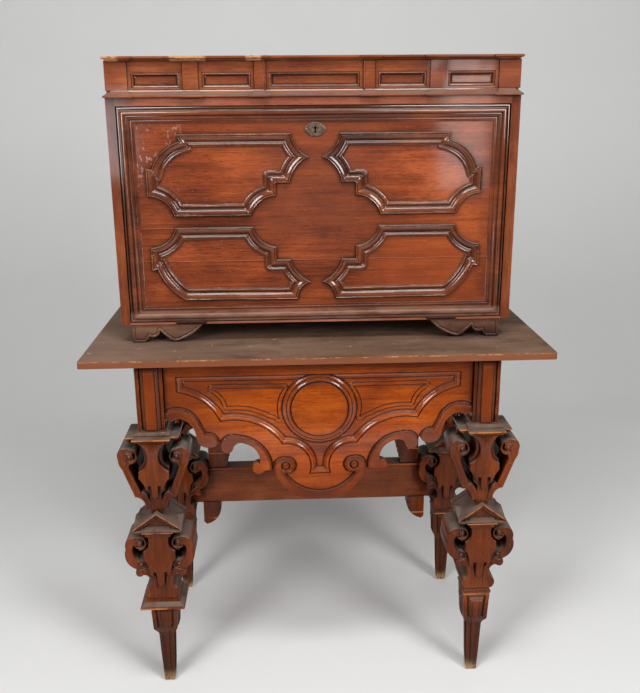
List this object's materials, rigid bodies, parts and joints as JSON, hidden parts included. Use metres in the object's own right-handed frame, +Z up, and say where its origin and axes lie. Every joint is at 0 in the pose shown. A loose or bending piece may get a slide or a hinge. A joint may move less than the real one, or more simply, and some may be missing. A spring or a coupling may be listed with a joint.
{
  "type": "fall-front desk cabinet on stand",
  "caption": "Carved wooden desk cabinet with a hinged fall front, a frieze drawer and an inner bank of drawers, on a four-legged stand with a shaped apron.",
  "frame": {"origin": "on the floor, at the middle of the bounding box (under the middle of the table top)", "axes": "+Z up, along the height; +X to the right seen from the front; the front faces -Y"},
  "size_m": [1.084, 0.556, 1.531],
  "materials": {
    "table_wood": "matt, worn and dusty",
    "apron_wood": "glossy old varnish",
    "leg_wood": "dark varnish, worn edges",
    "leg_plates": "varnish, worn edges",
    "back_wood": "plain, dry",
    "case_wood": "glossy old varnish",
    "case_moulding": "glossy old varnish",
    "fall_wood": "glossy old varnish",
    "inner_wood": "satin",
    "escutcheon_iron": "dark, worn",
    "lock_iron": "dark",
    "hinge_iron": "dark"
  },
  "bodies": {
    "stand_and_case": {"back_case_feet": "case_wood", "back_left_leg_gable_cap": "leg_wood", "back_left_leg_lower_scrolls_and_foot": "leg_wood", "back_left_leg_post": "leg_wood", "back_left_leg_tassel_plates": "leg_plates", "back_left_leg_upper_scrolls": "leg_wood", "back_rail": "back_wood", "back_right_leg_gable_cap": "leg_wood", "back_right_leg_lower_scrolls_and_foot": "leg_wood", "back_right_leg_post": "leg_wood", "back_right_leg_tassel_plates": "leg_plates", "back_right_leg_upper_scrolls": "leg_wood", "case_back_board": "back_wood", "case_bottom_board": "case_wood", "case_left_side": "case_wood", "case_right_side": "case_wood", "case_top_board": "case_wood", "cornice": "case_moulding", "drawer_bank": "inner_wood", "frieze_board": "inner_wood", "frieze_left_section": "case_moulding", "frieze_right_section": "case_moulding", "front_apron": "apron_wood", "front_left_case_foot": "case_moulding", "front_left_leg_gable_cap": "leg_wood", "front_left_leg_lower_scrolls_and_foot": "leg_wood", "front_left_leg_post": "leg_wood", "front_left_leg_tassel_plates": "leg_plates", "front_left_leg_upper_scrolls": "leg_wood", "front_right_case_foot": "case_moulding", "front_right_leg_gable_cap": "leg_wood", "front_right_leg_lower_scrolls_and_foot": "leg_wood", "front_right_leg_post": "leg_wood", "front_right_leg_tassel_plates": "leg_plates", "front_right_leg_upper_scrolls": "leg_wood", "hinge_fixed_leaves": "hinge_iron", "ledge_moulding": "case_moulding", "left_apron": "apron_wood", "left_drawers": "inner_wood", "left_stile": "case_wood", "left_stretcher_brackets": "leg_wood", "rear_stretcher": "leg_wood", "right_apron": "apron_wood", "right_drawers": "inner_wood", "right_stile": "case_wood", "right_stretcher_brackets": "leg_wood", "table_top": "table_wood", "top_rail": "case_wood"},
    "fall_front": {"fall_panel": "fall_wood", "fall_frame_moulding": "case_moulding", "upper_left_shaped_moulding": "case_moulding", "upper_right_shaped_moulding": "case_moulding", "lower_left_shaped_moulding": "case_moulding", "lower_right_shaped_moulding": "case_moulding", "escutcheon": "escutcheon_iron", "lock_case": "lock_iron", "hinge_moving_leaves": "hinge_iron"},
    "frieze_drawer": {"frieze_drawer_front": "case_moulding", "frieze_drawer_box": "inner_wood"},
    "lock_bolt": {"lock_bolt": "lock_iron"}
  },
  "joints": [
    {"name": "fall_hinge", "type": "hinge", "parent": "stand_and_case", "child": "fall_front", "pos_m": [0, -0.131, 0.93], "axis": [1, 0, 0], "range_deg": [0, 106]},
    {"name": "frieze_drawer_slide", "type": "slide", "parent": "stand_and_case", "child": "frieze_drawer", "axis": [0, -1, 0], "range_m": [0, 0.25]},
    {"name": "lock_bolt_slide", "type": "slide", "parent": "fall_front", "child": "lock_bolt", "axis": [0, 0, 1], "range_m": [0, 0.012]}
  ]
}
